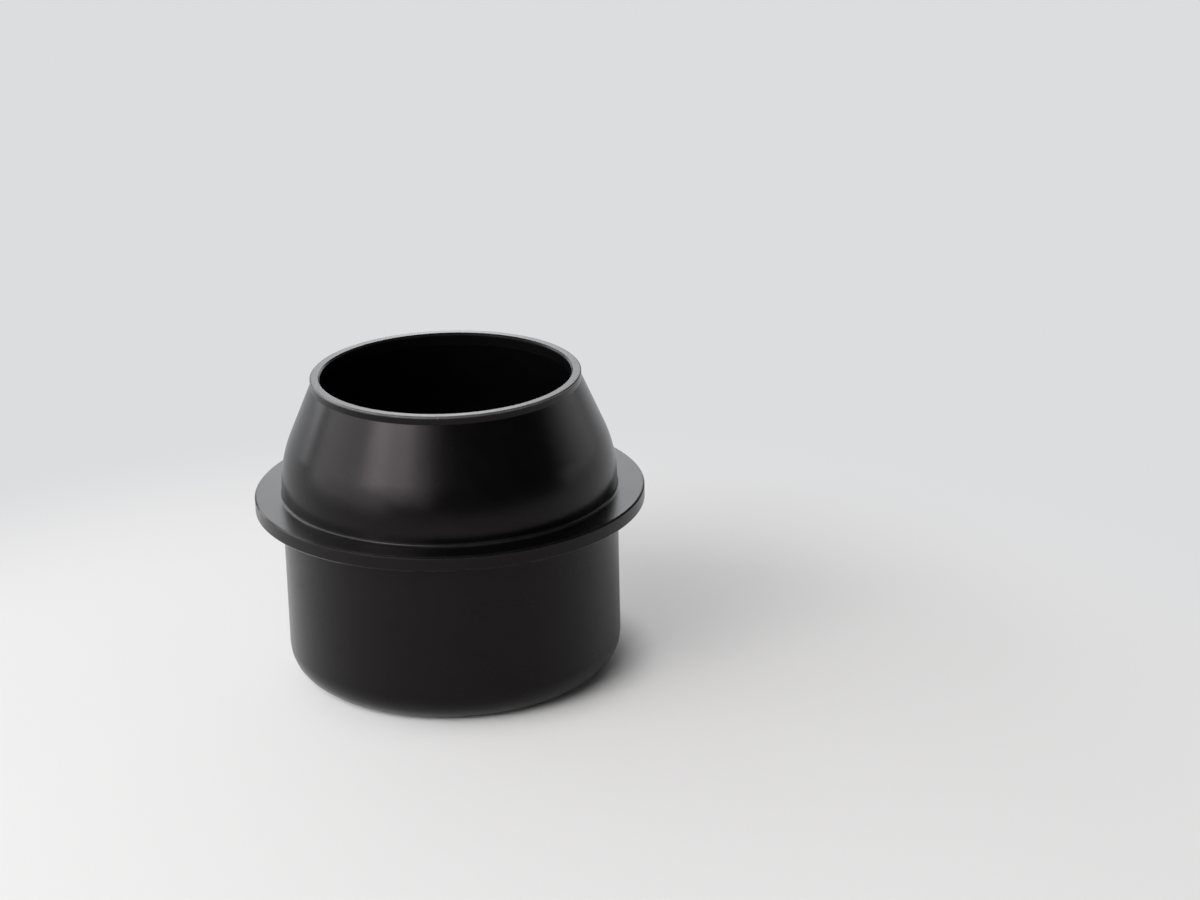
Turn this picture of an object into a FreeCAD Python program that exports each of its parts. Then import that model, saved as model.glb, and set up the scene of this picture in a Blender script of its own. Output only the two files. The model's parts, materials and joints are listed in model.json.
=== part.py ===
import FreeCAD, Part
import math
import os
from collections import namedtuple

from FreeCAD import Vector

# Grind cup: one thin-walled cup turned from a single aluminium billet.
# Units are millimetres. The cup stands on its base at z = 0 and its turning
# axis is the Z axis, so the origin is the centre of the base.

# Overall height, and how far the mouth stands above the top of the flange
HEIGHT = 66.8
NECK_HEIGHT = 25.8

# Lip: a short straight band, sized to drop into a 58 mm coffee basket
LIP_OUTER_D = 58.0
LIP_LAND = 1.8
LIP_WALL = 2.1

# Side, base and floor
BODY_D = 72.5
BODY_WALL = 2.3
FLOOR_THICKNESS = 3.0
BASE_CORNER_R = 7.0
FLOOR_CORNER_R = 6.0

# Shoulder: above the flange the side runs on straight for a little, then turns inwards
# through an arc, whose two tangents have this length, into a cone that meets the lip
SHOULDER_FOOT = 1.4
SHOULDER_TANGENT = 5.75

# Flange: a plain flat ring round the side, by which the cup hangs or is held
FLANGE_WIDTH = 5.85
FLANGE_THICKNESS = 3.3

# Edge breaks, and the root that the tool's nose leaves where flange and side meet
LIP_CHAMFER = 0.2
MOUTH_CHAMFER = 0.35
FLANGE_CHAMFER = 0.35
FLANGE_ROOT_R = 0.5

# Levels and radii that follow from the sizes above
LIP_R = LIP_OUTER_D / 2
SIDE_R = BODY_D / 2
FLANGE_R = SIDE_R + FLANGE_WIDTH
LAND_Z = HEIGHT - LIP_LAND
FLANGE_TOP_Z = HEIGHT - NECK_HEIGHT
FLANGE_UNDER_Z = FLANGE_TOP_Z - FLANGE_THICKNESS
SHOULDER_Z = FLANGE_TOP_Z + SHOULDER_FOOT + SHOULDER_TANGENT
SHOULDER_ANGLE = math.atan2(SIDE_R - LIP_R, LAND_Z - SHOULDER_Z)
SHOULDER_ARC_R = SHOULDER_TANGENT / math.tan(SHOULDER_ANGLE / 2)

Corner = namedtuple("Corner", "r z radius chamfer", defaults=(0, 0))


def outer_corners():
    """Corners of the outside, from the base's centre up to the lip's top face."""
    return [
        Corner(0, 0),
        Corner(SIDE_R, 0, radius=BASE_CORNER_R),
        Corner(SIDE_R, FLANGE_UNDER_Z, radius=FLANGE_ROOT_R),
        Corner(FLANGE_R, FLANGE_UNDER_Z, chamfer=FLANGE_CHAMFER),
        Corner(FLANGE_R, FLANGE_TOP_Z, chamfer=FLANGE_CHAMFER),
        Corner(SIDE_R, FLANGE_TOP_Z, radius=FLANGE_ROOT_R),
        Corner(SIDE_R, SHOULDER_Z, radius=SHOULDER_ARC_R),
        Corner(LIP_R, LAND_Z),
        Corner(LIP_R, HEIGHT, chamfer=LIP_CHAMFER),
    ]


def inner_corners():
    """Corners of the inside, from the mouth's edge down to the floor's centre.

    The inner side, arc and cone are the outer ones moved in by the body's wall,
    measured square to them. The arcs share one centre.
    """
    mouth_r = LIP_R - LIP_WALL
    side_r = SIDE_R - BODY_WALL
    drop = (BODY_WALL - LIP_WALL * math.cos(SHOULDER_ANGLE)) / math.sin(SHOULDER_ANGLE)
    shoulder_z = SHOULDER_Z - BODY_WALL * math.tan(SHOULDER_ANGLE / 2)
    return [
        Corner(mouth_r, HEIGHT, chamfer=MOUTH_CHAMFER),
        Corner(mouth_r, LAND_Z - drop),
        Corner(side_r, shoulder_z, radius=SHOULDER_ARC_R - BODY_WALL),
        Corner(side_r, FLOOR_THICKNESS, radius=FLOOR_CORNER_R),
        Corner(0, FLOOR_THICKNESS),
    ]


def blended_outline(corners):
    """Closed wire in the XZ plane through the corners, each rounded, chamfered or left sharp."""
    points = [Vector(corner.r, 0, corner.z) for corner in corners]
    edges = []
    starts = []
    ends = []
    for index, corner in enumerate(corners):
        here = points[index]
        back = (points[index - 1] - here).normalize()
        ahead = (points[(index + 1) % len(points)] - here).normalize()
        half_angle = back.getAngle(ahead) / 2
        reach = corner.chamfer or corner.radius / math.tan(half_angle)
        starts.append(here + back * reach)
        ends.append(here + ahead * reach)
        if corner.chamfer:
            edges.append(Part.LineSegment(starts[-1], ends[-1]).toShape())
        elif corner.radius:
            bisector = (back + ahead).normalize()
            middle = here + bisector * (corner.radius / math.sin(half_angle) - corner.radius)
            edges.append(Part.Arc(starts[-1], middle, ends[-1]).toShape())
    for index, end in enumerate(ends):
        start = starts[(index + 1) % len(starts)]
        edges.append(Part.LineSegment(end, start).toShape())
    return Part.Wire(Part.__sortEdges__(edges))


def grind_cup():
    """The whole cup: its section turned once round the Z axis."""
    section = Part.Face(blended_outline(outer_corners() + inner_corners()))
    return section.revolve(Vector(0, 0, 0), Vector(0, 0, 1), 360)


os.makedirs("parts", exist_ok=True)
grind_cup().exportStep("parts/grind_cup.step")
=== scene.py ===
"""Looks of a grind cup: one thin-walled cup, turned from aluminium, fine-blasted and anodised black."""
import json
import logging
import math
from dataclasses import dataclass
from enum import Enum

import bpy
import numpy as np
from mathutils import Matrix, Vector


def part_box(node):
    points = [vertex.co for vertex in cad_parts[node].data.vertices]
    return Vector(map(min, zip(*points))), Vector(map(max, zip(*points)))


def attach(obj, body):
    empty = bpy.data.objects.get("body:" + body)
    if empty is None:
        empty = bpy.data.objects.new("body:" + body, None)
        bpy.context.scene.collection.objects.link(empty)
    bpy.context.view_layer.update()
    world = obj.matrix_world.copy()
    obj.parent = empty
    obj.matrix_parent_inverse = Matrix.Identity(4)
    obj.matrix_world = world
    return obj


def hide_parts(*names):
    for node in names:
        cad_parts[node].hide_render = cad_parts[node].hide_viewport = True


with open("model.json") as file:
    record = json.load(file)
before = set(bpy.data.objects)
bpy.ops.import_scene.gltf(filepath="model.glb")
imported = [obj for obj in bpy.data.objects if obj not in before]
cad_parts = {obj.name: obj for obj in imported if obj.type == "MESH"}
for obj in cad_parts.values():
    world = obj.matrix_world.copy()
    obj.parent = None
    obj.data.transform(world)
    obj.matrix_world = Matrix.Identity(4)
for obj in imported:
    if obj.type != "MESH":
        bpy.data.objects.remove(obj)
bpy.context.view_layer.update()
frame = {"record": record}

LOG = logging.getLogger("grind_cup")
MM = 0.001
NODE = "grind_cup"
BODY = "root"
SLOT = "black_anodised"


def mount(name: str) -> dict:
    """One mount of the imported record.

    Args:
        name: The mount's name in the record.

    Returns:
        The mount, with its place in metres and its sizes in millimetres.
    """
    return next(entry for entry in frame["record"]["mounts"] if entry["name"] == name)


class Edge(Enum):
    """How the two stretches of a section that meet at a corner are joined."""

    ROUND = "round"
    CHAMFER = "chamfer"


@dataclass(frozen=True)
class Corner:
    """One corner of the cup's section, where two straight stretches would meet.

    r and z are its place, size is the radius or the chamfer's leg, and the last number greys
    the edge: partly where hands and baskets rub the black thin, partly a painted highlight.
    """

    r: float
    z: float
    size: float = 0.0
    edge: Edge = Edge.ROUND
    wear_and_glint: float = 0.0


@dataclass(frozen=True)
class Section:
    """The cup's outline as arrays, from the base's centre round to the floor's centre.

    points and normals are rows of (r, z), run is the length along the outline, the edge mask
    of rubbing and painted highlight fades away from its edges, and inside is 1 within the mouth.
    """

    points: np.ndarray
    normals: np.ndarray
    run: np.ndarray
    wear_and_glint: np.ndarray
    inside: np.ndarray


class NodeBench:
    """A node tree with short calls that add nodes and link them."""

    def __init__(self, tree: bpy.types.NodeTree) -> None:
        """Keep the tree.

        Args:
            tree: The material's, world's or group's node tree.
        """
        self.tree = tree

    def add(self, kind: str, settings: dict | None = None, **values: object) -> bpy.types.Node:
        """Add a node, set its options and give its inputs values or links.

        Args:
            kind: The node's type, without its ShaderNode prefix.
            settings: Options of the node itself, such as its operation.
            values: Inputs by name, with underscores for spaces. A socket is linked and
                anything else becomes the input's own value.

        Returns:
            The new node.
        """
        node = self.tree.nodes.new("ShaderNode" + kind)
        for name, value in (settings or {}).items():
            setattr(node, name, value)
        for name, value in values.items():
            self.feed(node.inputs[name.replace("_", " ")], value)
        return node

    def feed(self, socket: bpy.types.NodeSocket, value: object) -> None:
        """Link a socket to another, or set its own value.

        Args:
            socket: The input to feed.
            value: An output socket, a number or a tuple.
        """
        if isinstance(value, bpy.types.NodeSocket):
            self.tree.links.new(value, socket)
        else:
            socket.default_value = value

    def math(self, operation: str, first: object, second: object = 0.0) -> bpy.types.NodeSocket:
        """Work out one number from one or two others.

        Args:
            operation: The Math node's operation.
            first: The first number or socket.
            second: The second number or socket.

        Returns:
            The result's socket.
        """
        node = self.add("Math", {"operation": operation})
        self.feed(node.inputs[0], first)
        self.feed(node.inputs[1], second)
        return node.outputs[0]

    def ramp(self, value: object, low: float, high: float, start: float = 0.0,
             end: float = 1.0) -> bpy.types.NodeSocket:
        """Carry a number smoothly from one range to another, clamped at both ends.

        Args:
            value: The number or socket to carry.
            low: Where the old range starts.
            high: Where the old range ends.
            start: What the low end becomes.
            end: What the high end becomes.

        Returns:
            The result's socket.
        """
        node = self.add("MapRange", {"interpolation_type": "SMOOTHSTEP"}, Value=value)
        for name, number in (("From Min", low), ("From Max", high), ("To Min", start), ("To Max", end)):
            node.inputs[name].default_value = number
        return node.outputs["Result"]

    def blend(self, share: object, first: object, second: object) -> bpy.types.NodeSocket:
        """Mix two colours.

        Args:
            share: How much of the second colour shows, from 0 to 1.
            first: The first colour or socket.
            second: The second colour or socket.

        Returns:
            The mixed colour's socket.
        """
        node = self.add("Mix", {"data_type": "RGBA"})
        self.feed(node.inputs[0], share)
        self.feed(node.inputs[6], first)
        self.feed(node.inputs[7], second)
        return node.outputs[2]


def node_group(name: str, inputs: dict[str, float | None], outputs: tuple[str, ...]) -> tuple[
        bpy.types.NodeTree, bpy.types.Node, bpy.types.Node]:
    """Start an empty shader node group with named sockets.

    Args:
        name: The group's name.
        inputs: Input names with their defaults. None makes a vector input.
        outputs: Names of the number outputs.

    Returns:
        The group, its input node and its output node.
    """
    group = bpy.data.node_groups.new(name, "ShaderNodeTree")
    for label, default in inputs.items():
        kind = "NodeSocketVector" if default is None else "NodeSocketFloat"
        socket = group.interface.new_socket(label, in_out="INPUT", socket_type=kind)
        if default is not None:
            socket.default_value = default
    for label in outputs:
        group.interface.new_socket(label, in_out="OUTPUT", socket_type="NodeSocketFloat")
    return group, group.nodes.new("NodeGroupInput"), group.nodes.new("NodeGroupOutput")


def blasted_grain() -> bpy.types.NodeTree:
    """Fine dimples that blasting leaves, under a slow drift in tone.

    Height is two noises, one at the grain's size and one about three times as coarse, and
    Tone is a third noise, about twenty-five times as coarse.

    Returns:
        The group, with inputs Vector and Grain Size and outputs Height and Tone.
    """
    group, start, end = node_group("blasted_grain", {"Vector": None, "Grain Size": 0.15 * MM},
                                   ("Height", "Tone"))
    coarse_rate, coarse_weight = 0.3, 1.5
    drift_rate, drift_low, drift_high = 0.04, 0.3, 0.7
    bench = NodeBench(group)
    place = start.outputs["Vector"]
    rate = bench.math("DIVIDE", 1.0, start.outputs["Grain Size"])
    fine = bench.add("TexNoise", Vector=place, Scale=rate, Detail=1.0)
    coarse = bench.add("TexNoise", Vector=place, Scale=bench.math("MULTIPLY", rate, coarse_rate), Detail=1.0)
    drift = bench.add("TexNoise", Vector=place, Scale=bench.math("MULTIPLY", rate, drift_rate), Detail=3.0)
    height = bench.math("ADD", fine.outputs[0], bench.math("MULTIPLY", coarse.outputs[0], coarse_weight))
    bench.feed(end.inputs["Height"], bench.math("DIVIDE", height, 1.0 + coarse_weight))
    bench.feed(end.inputs["Tone"], bench.ramp(drift.outputs[0], drift_low, drift_high))
    return group


def turning_marks() -> bpy.types.NodeTree:
    """Fine rings that the lathe's feed leaves, all the way round the cup.

    Height depends only on the length along the cup's section, so each mark is a ring. It
    is a fine one-way noise at the feed's pitch and a slower one that swells and fades it.

    Returns:
        The group, with inputs Run and Pitch and output Height.
    """
    group, start, end = node_group("turning_marks", {"Run": 0.0, "Pitch": 0.2 * MM}, ("Height",))
    slow_rate, swell_low, swell_high, least_swell = 0.07, 0.3, 0.7, 0.35
    bench = NodeBench(group)
    turns = bench.math("DIVIDE", start.outputs["Run"], start.outputs["Pitch"])
    fine = bench.add("TexNoise", {"noise_dimensions": "1D"}, W=turns, Scale=1.0, Detail=2.0)
    slow = bench.add("TexNoise", {"noise_dimensions": "1D"}, W=turns, Scale=slow_rate, Detail=1.0)
    swell = bench.ramp(slow.outputs[0], swell_low, swell_high, least_swell, 1.0)
    bench.feed(end.inputs["Height"], bench.math("MULTIPLY", fine.outputs[0], swell))
    return group


def edge_wear_and_glint() -> bpy.types.NodeTree:
    """Where rubbing has thinned the black along an edge, and where a highlight is painted on an
    edge as grey.

    Amount is the edge's own mask broken up by a noise, so the rubbed grey and the painted
    highlight come and go.

    Returns:
        The group, with inputs Vector, the edge mask of rubbing and painted highlight, and
        Patch Size, and output Amount.
    """
    group, start, end = node_group("edge_wear_and_glint", {"Vector": None, "Worn": 0.0, "Patch Size": 4 * MM},
                                   ("Amount",))
    patch_low, patch_high, least_kept = 0.35, 0.65, 0.7
    bench = NodeBench(group)
    patches = bench.add("TexNoise", Vector=start.outputs["Vector"],
                        Scale=bench.math("DIVIDE", 1.0, start.outputs["Patch Size"]), Detail=4.0)
    kept = bench.ramp(patches.outputs[0], patch_low, patch_high, least_kept, 1.0)
    bench.feed(end.inputs["Amount"], bench.math("MULTIPLY", kept, start.outputs["Worn"]))
    return group


def handling() -> bpy.types.NodeTree:
    """Soft smears that handling leaves, which only change how dull the finish is.

    Amount is a warped noise, cut so that only its upper part shows.

    Returns:
        The group, with inputs Vector and Smear Size and output Amount.
    """
    group, start, end = node_group("handling", {"Vector": None, "Smear Size": 14 * MM}, ("Amount",))
    smear_low, smear_high = 0.42, 0.72
    bench = NodeBench(group)
    smears = bench.add("TexNoise", Vector=start.outputs["Vector"], Distortion=0.8, Detail=2.5,
                       Scale=bench.math("DIVIDE", 1.0, start.outputs["Smear Size"]))
    bench.feed(end.inputs["Amount"], bench.ramp(smears.outputs[0], smear_low, smear_high))
    return group


@dataclass(frozen=True)
class BlackAnodised:
    """Aluminium, fine-blasted and then anodised and dyed black, with a satin surface.

    drift_tone is how much lighter the black gets where its slow drift is full.
    """

    black: tuple[float, float, float] = (0.002, 0.0019, 0.0019)
    drift_tone: float = 1.35
    # Grey metal on the edges: bare aluminium where rubbed, and a painted highlight on edges that catch the
    # light.
    wear_and_glint_grey: tuple[float, float, float] = (0.32, 0.31, 0.31)
    gloss_tint: tuple[float, float, float] = (0.36, 0.32, 0.33)
    roughness: float = 0.25
    smear_roughness: float = 0.03
    ior: float = 1.5
    grain_size: float = 0.16 * MM
    grain_depth: float = 0.0016 * MM
    feed_pitch: float = 0.22 * MM
    mark_depth: float = 0.0012 * MM
    inner_mark_depth: float = 0.004 * MM

    def material(self) -> bpy.types.Material:
        """Build the finish as nodes.

        Returns:
            The material, which reads the cup's UV map, its edge mask of rubbing and painted
            highlight, and its inside attribute.
        """
        made = bpy.data.materials.new(SLOT)
        made.use_nodes = True
        bench = NodeBench(made.node_tree)
        shader = made.node_tree.nodes["Principled BSDF"]
        shader.inputs["IOR"].default_value = self.ior
        shader.inputs["Specular Tint"].default_value = (*self.gloss_tint, 1.0)
        place = bench.add("TexCoord").outputs["Object"]
        along = bench.add("UVMap", {"uv_map": GrindCup.UV_NAME}).outputs["UV"]
        run = bench.add("SeparateXYZ", Vector=along).outputs["Y"]
        wear_and_glint = bench.add("Attribute", {"attribute_name": "wear_and_glint"}).outputs["Fac"]
        inside = bench.add("Attribute", {"attribute_name": "inside"}).outputs["Fac"]

        grain = bench.add("Group", {"node_tree": blasted_grain()}, Vector=place, Grain_Size=self.grain_size)
        marks = bench.add("Group", {"node_tree": turning_marks()}, Run=run, Pitch=self.feed_pitch)
        wear_and_glint_amount = bench.add("Group", {"node_tree": edge_wear_and_glint()}, Vector=place, Worn=wear_and_glint)
        smears = bench.add("Group", {"node_tree": handling()}, Vector=place)

        lighter = [c * self.drift_tone for c in self.black]
        toned = bench.blend(grain.outputs["Tone"], (*self.black, 1.0), (*lighter, 1.0))
        # The edge mask paints grey, metallic edges: bare where rubbed, and a painted highlight along edges
        # that catch the light.
        colour = bench.blend(wear_and_glint_amount.outputs["Amount"], toned, (*self.wear_and_glint_grey, 1.0))
        bench.feed(shader.inputs["Base Color"], colour)
        bench.feed(shader.inputs["Metallic"], wear_and_glint_amount.outputs["Amount"])

        dulled = bench.math("MULTIPLY_ADD", smears.outputs["Amount"], self.smear_roughness)
        dulled.node.inputs[2].default_value = self.roughness
        bench.feed(shader.inputs["Roughness"], dulled)

        depth = bench.ramp(inside, 0.0, 1.0, self.mark_depth / self.inner_mark_depth, 1.0)
        rings = bench.math("MULTIPLY", marks.outputs["Height"], depth)
        turned = bench.add("Bump", Strength=1.0, Distance=self.inner_mark_depth, Height=rings)
        dimpled = bench.add("Bump", Strength=1.0, Distance=self.grain_depth, Height=grain.outputs["Height"],
                            Normal=turned.outputs["Normal"])
        bench.feed(shader.inputs["Normal"], dimpled.outputs["Normal"])
        return made


@dataclass
class GrindCup:
    """The cup: lip, shoulder, flange, side, base and hollow, all turned from one billet.

    The outside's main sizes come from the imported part's box and mounts. The rest are the
    part's own sizes, in metres.
    """

    UV_NAME = "turned"

    lip_land: float = 1.8 * MM
    lip_wall: float = 2.1 * MM
    body_wall: float = 2.3 * MM
    neck_height: float = 25.8 * MM
    shoulder_foot: float = 1.4 * MM
    shoulder_tangent: float = 5.75 * MM
    floor_thickness: float = 3.0 * MM
    floor_corner: float = 6.0 * MM
    flange_root: float = 0.5 * MM
    lip_chamfer: float = 0.2 * MM
    mouth_chamfer: float = 0.35 * MM
    flange_chamfer: float = 0.35 * MM
    land_root: float = 0.3 * MM
    softness: float = 0.06 * MM
    # How far the edge mask of rubbing and painted highlight spreads from its corner.
    wear_and_glint_width: float = 0.18 * MM
    segments: int = 192
    arc_rows: int = 7
    straight_rows: int = 9

    def __post_init__(self) -> None:
        """Take the outer sizes from the frame."""
        low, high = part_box(NODE)
        self.height = high[2] - low[2]
        self.flange_r = max(high[0] - low[0], high[1] - low[1]) / 2
        self.lip_r = mount("lip_pilot")["dims"]["r_mm"] * MM
        spigot = mount("side_spigot")
        self.side_r = spigot["dims"]["r_mm"] * MM
        self.base_corner = spigot["pos_m"][2] - spigot["dims"]["length_mm"] * MM / 2
        self.flange_under = mount("flange_underside")["pos_m"][2]

    def shoulder(self) -> tuple[float, float, float]:
        """Work out the shoulder, where the cone and the side would meet in a corner.

        Returns:
            The corner's height, the cone's angle from the axis and the arc's radius.
        """
        height = self.height - self.neck_height + self.shoulder_foot + self.shoulder_tangent
        lean = math.atan2(self.side_r - self.lip_r, self.height - self.lip_land - height)
        return height, lean, self.shoulder_tangent / math.tan(lean / 2)

    def outer_corners(self) -> list[Corner]:
        """List the corners of the outside.

        Returns:
            The corners, from the base's centre up to the lip's top.
        """
        flange_top = self.height - self.neck_height
        shoulder_z, _, shoulder_arc = self.shoulder()
        return [
            Corner(0.0, 0.0),
            Corner(self.side_r, 0.0, self.base_corner),
            Corner(self.side_r, self.flange_under, self.flange_root),
            # The last numbers grey the edges, partly rubbed bare and partly a painted highlight.
            Corner(self.flange_r, self.flange_under, self.flange_chamfer, Edge.CHAMFER, wear_and_glint=0.01),
            Corner(self.flange_r, flange_top, self.flange_chamfer, Edge.CHAMFER, wear_and_glint=0.02),
            # Nothing rubs this inner corner at the flange root: its grey is all painted highlight.
            Corner(self.side_r, flange_top, self.flange_root, wear_and_glint=0.04),
            Corner(self.side_r, shoulder_z, shoulder_arc),
            Corner(self.lip_r, self.height - self.lip_land, self.land_root),
            Corner(self.lip_r, self.height, self.lip_chamfer, Edge.CHAMFER, wear_and_glint=0.5),
        ]

    def inner_corners(self) -> list[Corner]:
        """List the corners of the inside: the outside's, moved in by the wall.

        Returns:
            The corners, from the mouth's edge down to the floor's centre.
        """
        shoulder_z, lean, shoulder_arc = self.shoulder()
        mouth_r = self.lip_r - self.lip_wall
        side_r = self.side_r - self.body_wall
        drop = (self.body_wall - self.lip_wall * math.cos(lean)) / math.sin(lean)
        inner_z = shoulder_z - self.body_wall * math.tan(lean / 2)
        return [
            Corner(mouth_r, self.height, self.mouth_chamfer, Edge.CHAMFER, wear_and_glint=0.04),
            Corner(mouth_r, self.height - self.lip_land - drop, self.land_root),
            Corner(side_r, inner_z, shoulder_arc - self.body_wall),
            Corner(side_r, self.floor_thickness, self.floor_corner),
            Corner(0.0, self.floor_thickness),
        ]

    def softened(self, corners: list[Corner]) -> list[Corner]:
        """Swap each chamfered corner for its chamfer's two ends, each slightly rounded.

        Args:
            corners: The section's corners in order.

        Returns:
            Corners that are all rounded or on the axis.
        """
        result = []
        for index, corner in enumerate(corners):
            if corner.edge is Edge.ROUND:
                result.append(corner)
                continue
            here = np.array([corner.r, corner.z])
            for other in (corners[index - 1], corners[(index + 1) % len(corners)]):
                way = np.array([other.r, other.z]) - here
                end = here + way / np.linalg.norm(way) * corner.size
                result.append(Corner(end[0], end[1], self.softness, wear_and_glint=corner.wear_and_glint))
        return result

    def rounded(self, before: Corner, corner: Corner, after: Corner) -> tuple[np.ndarray, np.ndarray]:
        """Round one corner, or keep it as a point where it lies on the axis.

        The arc runs from one tangent point to the other: centre plus radius times the
        cosine and sine of an angle that goes evenly between them.

        Args:
            before: The corner before it.
            corner: The corner itself.
            after: The corner after it.

        Returns:
            The arc's points, and the way along the outline at each of them.
        """
        here = np.array([corner.r, corner.z])
        back = np.array([before.r, before.z]) - here
        ahead = np.array([after.r, after.z]) - here
        back /= np.linalg.norm(back)
        ahead /= np.linalg.norm(ahead)
        if corner.size == 0.0:
            way = ahead if after.r > 0.0 else -back
            return here[None, :], way[None, :]
        half = math.acos(float(np.clip(back @ ahead, -1.0, 1.0))) / 2
        bisector = (back + ahead) / np.linalg.norm(back + ahead)
        centre = here + bisector * corner.size / math.sin(half)
        start = here + back * corner.size / math.tan(half) - centre
        turn = math.pi - 2 * half
        sign = 1.0 if back[0] * ahead[1] - back[1] * ahead[0] < 0 else -1.0
        angle = math.atan2(start[1], start[0]) + sign * turn * np.linspace(0.0, 1.0, self.arc_rows)
        outwards = np.stack([np.cos(angle), np.sin(angle)], axis=1)
        return centre + corner.size * outwards, sign * np.stack([-outwards[:, 1], outwards[:, 0]], axis=1)

    def section(self) -> Section:
        """Work out the outline.

        Each straight stretch goes from one corner's arc to the next one's by half a cosine,
        so that its rows crowd near its ends. A normal is the way along the outline, turned
        to the right. The edge mask, partly rubbing and partly painted highlight, fades from
        its corner as exp(-(distance / width) squared).

        Returns:
            The outline's arrays.
        """
        outer = self.outer_corners()
        corners = self.softened(outer + self.inner_corners())
        inside_from = len(self.softened(outer)) + 1
        eased = (1 - np.cos(np.pi * np.linspace(0.0, 1.0, self.straight_rows + 2)[1:-1])) / 2
        pieces, ways, wear_and_glint, inside = [], [], [], []
        for index, corner in enumerate(corners):
            arc, way = self.rounded(corners[index - 1], corner, corners[(index + 1) % len(corners)])
            within = float(index > inside_from)
            if pieces:
                start = pieces[-1][-1]
                pieces.append(start + (arc[0] - start) * eased[:, None])
                ways.append(np.repeat(way[:1], len(eased), axis=0))
                wear_and_glint.append(np.zeros(len(eased)))
                inside.append(np.full(len(eased), within))
            pieces.append(arc)
            ways.append(way)
            wear_and_glint.append(np.full(len(arc), corner.wear_and_glint))
            inside.append(np.full(len(arc), within))
        points = np.concatenate(pieces)
        way = np.concatenate(ways)
        run = np.concatenate([[0.0], np.cumsum(np.linalg.norm(np.diff(points, axis=0), axis=1))])
        gap = np.abs(run[:, None] - run[None, :]) / self.wear_and_glint_width
        faded = (np.concatenate(wear_and_glint)[None, :] * np.exp(-gap ** 2)).max(axis=1)
        return Section(points, np.stack([way[:, 1], -way[:, 0]], axis=1), run, faded, np.concatenate(inside))

    def turned(self, pairs: np.ndarray) -> np.ndarray:
        """Carry rows of (r, z) round the axis: at angle a each becomes (r cos a, r sin a, z).

        Args:
            pairs: One row for each point of the section.

        Returns:
            Rows of (x, y, z), ring after ring, with the two ends as single rows at last.
        """
        angle = np.arange(self.segments) * 2 * np.pi / self.segments
        around = np.stack([np.cos(angle), np.sin(angle)], axis=1)
        ring = pairs[1:-1]
        body = np.empty((len(ring), self.segments, 3))
        body[..., :2] = ring[:, None, :1] * around[None, :, :]
        body[..., 2] = ring[:, None, 1]
        ends = np.array([[0.0, 0.0, pairs[0, 1]], [0.0, 0.0, pairs[-1, 1]]])
        return np.concatenate([body.reshape(-1, 3), ends])

    def faces(self, rows: int) -> list[list[int]]:
        """List the faces: quads between the rings, and a fan of triangles at either end.

        Args:
            rows: How many rings there are.

        Returns:
            The faces' vertex numbers, in the order that makes them point outwards.
        """
        count = self.segments
        row = np.arange(rows - 1)[:, None] * count
        here = np.arange(count)[None, :]
        beside = (here + 1) % count
        quads = np.stack([row + here, row + beside, row + count + beside, row + count + here], axis=-1)
        bottom, top, last = rows * count, rows * count + 1, (rows - 1) * count
        low_fan = np.stack([np.full(count, bottom), beside[0], here[0]], axis=-1)
        high_fan = np.stack([np.full(count, top), last + here[0], last + beside[0]], axis=-1)
        return quads.reshape(-1, 4).tolist() + low_fan.tolist() + high_fan.tolist()

    def chart(self, run: np.ndarray) -> np.ndarray:
        """Lay the surface out flat, with the turn from 0 to 1 across and the run upwards.

        Args:
            run: The length along the section at each of its points.

        Returns:
            Rows of (across, up) for every corner of the faces, in the faces' order.
        """
        count = self.segments
        here = np.arange(count)[None, :]
        share = np.stack([here, here + 1, here + 1, here], axis=-1) / count
        level = np.stack([run[1:-2], run[1:-2], run[2:-1], run[2:-1]], axis=-1)
        quads = np.stack(np.broadcast_arrays(share, level[:, None, :]), axis=-1).reshape(-1, 2)
        fan = (np.arange(count) + 0.5) / count
        half = 0.5 / count
        low = np.stack([np.stack([fan, fan + half, fan - half], axis=-1),
                        np.tile(run[[0, 1, 1]], (count, 1))], axis=-1).reshape(-1, 2)
        high = np.stack([np.stack([fan, fan - half, fan + half], axis=-1),
                         np.tile(run[[-1, -2, -2]], (count, 1))], axis=-1).reshape(-1, 2)
        return np.concatenate([quads, low, high])

    def mesh(self, section: Section) -> bpy.types.Mesh:
        """Turn the section once round the Z axis.

        The section's two ends lie on the axis, and each is one vertex with a fan of
        triangles, so the surface is closed. The normals are the section's own, turned too.

        Args:
            section: The cup's outline.

        Returns:
            The mesh, with a UV map of turn by run, an edge mask of rubbing and painted highlight,
            and the inside attribute.
        """
        made = bpy.data.meshes.new(NODE + "_turned")
        made.from_pydata(self.turned(section.points), [], self.faces(len(section.run) - 2))
        made.update()
        layer = made.uv_layers.new(name=self.UV_NAME)
        layer.data.foreach_set("uv", self.chart(section.run).astype(np.float32).ravel())
        for name, values in (("wear_and_glint", section.wear_and_glint), ("inside", section.inside)):
            ringed = np.concatenate([np.repeat(values[1:-1], self.segments), values[[0, -1]]])
            mask = made.attributes.new(name, "FLOAT", "POINT")
            mask.data.foreach_set("value", ringed.astype(np.float32))
        made.polygons.foreach_set("use_smooth", np.ones(len(made.polygons), dtype=bool))
        normals = self.turned(section.normals)
        normals[-2:] = [[0.0, 0.0, -1.0], [0.0, 0.0, 1.0]]
        made.normals_split_custom_set_from_vertices(normals.tolist())
        return made

    def build(self, finish: BlackAnodised) -> bpy.types.Object:
        """Make the cup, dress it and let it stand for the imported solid.

        Args:
            finish: The cup's finish.

        Returns:
            The cup's object.
        """
        section = self.section()
        cup = bpy.data.objects.new(NODE + "_turned", self.mesh(section))
        bpy.context.scene.collection.objects.link(cup)
        cup.data.materials.append(finish.material())
        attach(cup, BODY)
        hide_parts(NODE)
        LOG.info("%s: %d faces, lean %.2f degrees, height %.1f mm", cup.name, len(cup.data.polygons),
                 math.degrees(self.shoulder()[1]), self.height / MM)
        return cup


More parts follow.
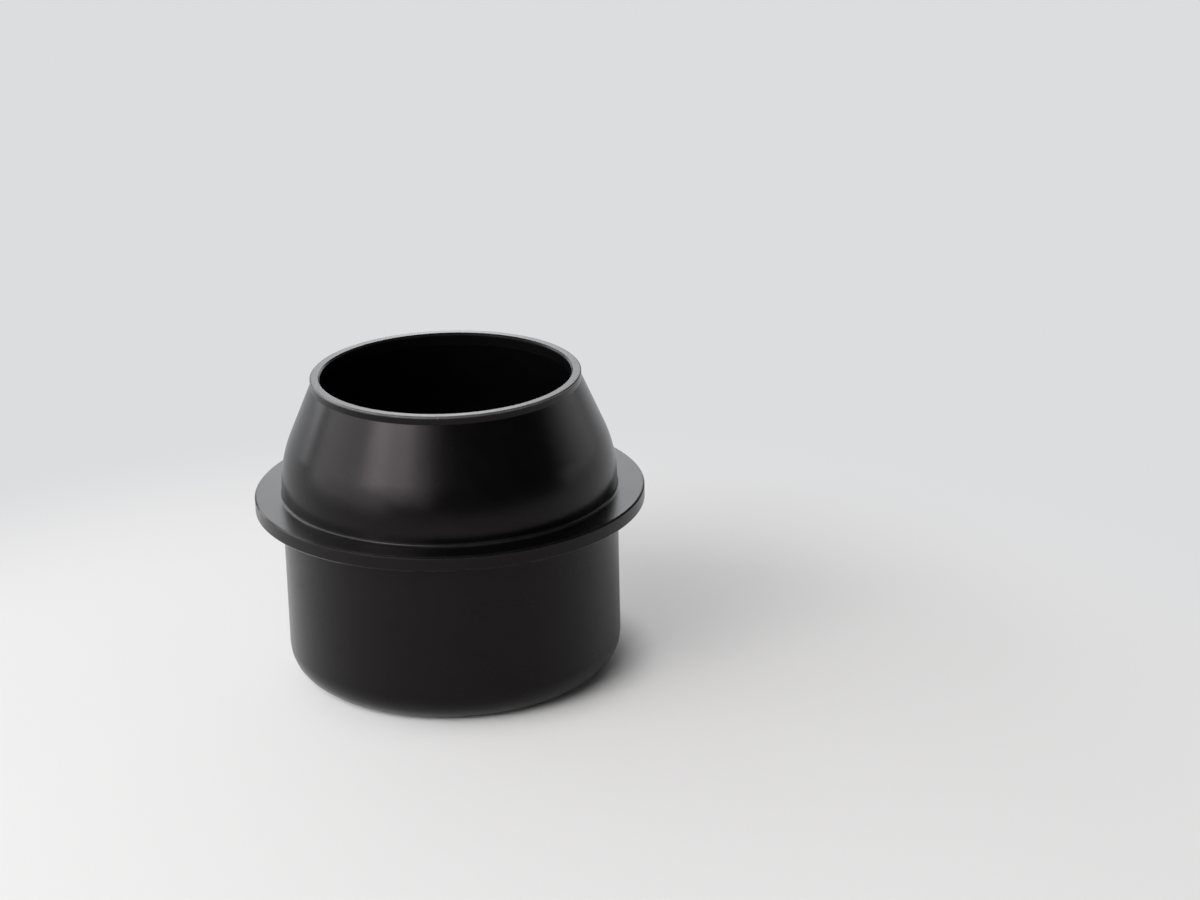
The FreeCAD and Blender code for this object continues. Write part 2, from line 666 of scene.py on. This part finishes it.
@dataclass(frozen=True)
class Lamp:
    """One soft lamp, aimed at the cup and sized by how wide it looks from there.

    azimuth is 0 towards the front and 90 to the right, and elevation is above the floor.
    wide and high are angles too, all in degrees. radiance is the lamp's own brightness,
    where 1 is white.
    """

    name: str
    azimuth: float
    elevation: float
    wide: float
    high: float
    radiance: float
    colour: tuple[float, float, float] = (1.0, 1.0, 1.0)
    distance: float = 1.2

    def build(self, target: Vector) -> bpy.types.Object:
        """Make the lamp.

        Args:
            target: The point that it faces.

        Returns:
            The lamp's object.
        """
        data = bpy.data.lights.new(self.name, "AREA")
        data.shape = "RECTANGLE"
        data.size = 2 * self.distance * math.tan(math.radians(self.wide / 2))
        data.size_y = 2 * self.distance * math.tan(math.radians(self.high / 2))
        data.energy = self.radiance * math.pi * data.size * data.size_y
        data.color = self.colour
        lamp = bpy.data.objects.new(self.name, data)
        turn, rise = math.radians(self.azimuth), math.radians(self.elevation)
        out = Vector((math.sin(turn) * math.cos(rise), -math.cos(turn) * math.cos(rise), math.sin(rise)))
        lamp.location = target + out * self.distance
        lamp.rotation_mode = "QUATERNION"
        lamp.rotation_quaternion = out.to_track_quat("Z", "Y")
        lamp.visible_camera = False
        bpy.context.scene.collection.objects.link(lamp)
        return lamp


@dataclass(frozen=True)
class Rig:
    """The studio light: soft lamps round the cup."""

    lamps: tuple[Lamp, ...] = (
        Lamp("window_high", 255, 31, 40, 14, 3.4, (0.96, 0.98, 1.0)),
        Lamp("window_side", 285, 31, 20, 14, 5.8, (0.98, 0.99, 1.0)),
        Lamp("window_low", 272, 17, 53, 13, 3.1, (0.96, 0.98, 1.0)),
        Lamp("window_end", 232, 10, 24, 14, 3.7, (0.94, 0.97, 1.0)),
        Lamp("window_back", 212, 32, 34, 14, 2.3, (0.96, 0.98, 1.0)),
        Lamp("left_sill", 276, 5, 44, 9, 2.5),
        Lamp("key", 307, 21, 16, 9, 9.4),
        Lamp("key_high", 318.5, 31, 28, 14, 9.7),
        Lamp("key_low", 324, 17, 16, 13, 4.3),
        Lamp("key_foot", 307, 12, 16, 9, 2.2),
        Lamp("key_sill", 309, 4.5, 22, 8, 2.6),
        Lamp("front_end", 340, 24, 14, 27, 2.7),
        Lamp("front_top", 322, 48, 55, 18, 2.6),
        Lamp("back_wall", 182, 18, 62, 20, 2.2, (0.96, 0.98, 1.0)),
        Lamp("back_strip", 183, 18, 4, 22, 2.2, (0.96, 0.98, 1.0)),
        Lamp("right_low", 109, 8, 46, 12, 1.15),
    )

    def build(self, target: Vector) -> list[bpy.types.Object]:
        """Make every lamp.

        Args:
            target: The point that they face.

        Returns:
            The lamps' objects.
        """
        made = [lamp.build(target) for lamp in self.lamps]
        LOG.info("lamps: %s", ", ".join(lamp.name for lamp in made))
        return made


@dataclass(frozen=True)
class Backdrop:
    """A pale floor that goes over into a plain pale background away from the cup.

    The floor's change runs from near to far, measured from middle, and the contact shadow
    runs from contact to contact_end, measured from the cup's axis. near_share is the plain
    colour's share next to the cup. The room is brighter at the back, from wall_start to
    wall_full of the way there.
    """

    floor_colour: tuple[float, float, float] = (0.852, 0.842, 0.836)
    near_colour: tuple[float, float, float] = (0.845, 0.83, 0.825)
    far_colour: tuple[float, float, float] = (0.71, 0.723, 0.737)
    room_level: float = 0.05
    wall_level: float = 0.2
    wall_start: float = -0.2
    wall_full: float = 0.9
    cloud_rate: float = 5.0
    cloud_tone: float = 0.985
    near_share: float = 0.39
    middle: tuple[float, float, float] = (0.0, -0.06, 0.0)
    near: float = 0.12
    far: float = 0.22
    contact: float = 0.033
    contact_end: float = 0.047
    half_size: float = 6.0

    def floor_material(self) -> bpy.types.Material:
        """A matt floor that takes shadows near the cup and is a plain pale colour far off.

        The plain colour also softens the shadows that the camera sees near the cup, but it
        stays out of the contact shadow right round the base.

        Returns:
            The material.
        """
        made = bpy.data.materials.new("floor")
        made.use_nodes = True
        bench = NodeBench(made.node_tree)
        shader = made.node_tree.nodes["Principled BSDF"]
        output = made.node_tree.nodes["Material Output"]
        place = bench.add("TexCoord").outputs["Object"]
        reach = bench.add("VectorMath", {"operation": "DISTANCE"})
        bench.feed(reach.inputs[0], place)
        bench.feed(reach.inputs[1], self.middle)
        cloud = bench.add("TexNoise", Vector=place, Scale=self.cloud_rate, Detail=3.0)
        clouded = [c * self.cloud_tone for c in self.floor_colour]
        bench.feed(shader.inputs["Base Color"],
                   bench.blend(cloud.outputs[0], (*self.floor_colour, 1.0), (*clouded, 1.0)))
        shader.inputs["Specular IOR Level"].default_value = 0.0
        faded = bench.ramp(reach.outputs["Value"], self.near, self.far)
        pale = bench.blend(faded, (*self.near_colour, 1.0), (*self.far_colour, 1.0))
        plain = bench.add("Emission", Color=pale, Strength=1.0)
        share = bench.ramp(reach.outputs["Value"], self.near, self.far, self.near_share, 1.0)
        axis_reach = bench.add("VectorMath", {"operation": "LENGTH"})
        bench.feed(axis_reach.inputs[0], place)
        clear = bench.ramp(axis_reach.outputs["Value"], self.contact, self.contact_end)
        path = bench.add("LightPath")
        seen = bench.math("MULTIPLY", bench.math("MULTIPLY", share, clear), path.outputs["Is Camera Ray"])
        mirrored = bench.math("MULTIPLY", faded, path.outputs["Is Glossy Ray"])
        mixed = bench.add("MixShader", Fac=bench.math("MAXIMUM", seen, mirrored))
        bench.feed(mixed.inputs[1], shader.outputs["BSDF"])
        bench.feed(mixed.inputs[2], plain.outputs["Emission"])
        bench.feed(output.inputs["Surface"], mixed.outputs["Shader"])
        return made

    def build(self) -> bpy.types.Object:
        """Make the floor and the world.

        Returns:
            The floor's object.
        """
        side = self.half_size
        mesh = bpy.data.meshes.new("floor")
        mesh.from_pydata([(-side, -side, 0.0), (side, -side, 0.0), (side, side, 0.0), (-side, side, 0.0)], [],
                         [(0, 1, 2, 3)])
        floor = bpy.data.objects.new("floor", mesh)
        bpy.context.scene.collection.objects.link(floor)
        mesh.materials.append(self.floor_material())
        self.world()
        return floor

    def world(self) -> None:
        """Light from the room: plain to the camera, and brighter at the back than in front."""
        world = bpy.data.worlds.new("room")
        bpy.context.scene.world = world
        world.use_nodes = True
        bench = NodeBench(world.node_tree)
        sky = world.node_tree.nodes["Background"]
        towards = bench.add("SeparateXYZ", Vector=bench.add("TexCoord").outputs["Generated"])
        back = bench.ramp(towards.outputs["Y"], self.wall_start, self.wall_full)
        room = [c * self.room_level for c in self.far_colour]
        wall = [c * self.wall_level for c in self.far_colour]
        lit = bench.blend(back, (*room, 1.0), (*wall, 1.0))
        seen = bench.add("LightPath").outputs["Is Camera Ray"]
        bench.feed(sky.inputs["Color"], bench.blend(seen, lit, (*self.far_colour, 1.0)))


@dataclass(frozen=True)
class Viewpoint:
    """The camera, in front of the cup and a little above it."""

    position: tuple[float, float, float] = (0.03262, -0.63413, 0.27953)
    look_down: float = 20.04
    roll: float = -1.27
    lens: float = 93.9
    clip_start: float = 0.01

    def build(self) -> bpy.types.Object:
        """Make the camera and hand it to the scene.

        Returns:
            The camera's object.
        """
        data = bpy.data.cameras.new("camera")
        data.lens = self.lens
        data.clip_start = self.clip_start
        camera = bpy.data.objects.new("camera", data)
        camera.location = self.position
        camera.rotation_mode = "QUATERNION"
        tilt = Matrix.Rotation(math.radians(90 - self.look_down), 3, "X")
        camera.rotation_quaternion = (tilt @ Matrix.Rotation(math.radians(self.roll), 3, "Z")).to_quaternion()
        bpy.context.scene.collection.objects.link(camera)
        bpy.context.scene.camera = camera
        LOG.info("camera: %.0f mm lens, looking down %.1f degrees", self.lens, self.look_down)
        return camera


def main() -> None:
    """Build the cup, its stage, its light and its camera."""
    logging.basicConfig(level=logging.INFO, format="%(name)s: %(message)s")
    bpy.context.scene.view_settings.view_transform = "Standard"
    cup = GrindCup()
    cup.build(BlackAnodised())
    Backdrop().build()
    Rig().build(Vector((0.0, 0.0, cup.height / 2)))
    Viewpoint().build()


if __name__ == "__main__":
    main()
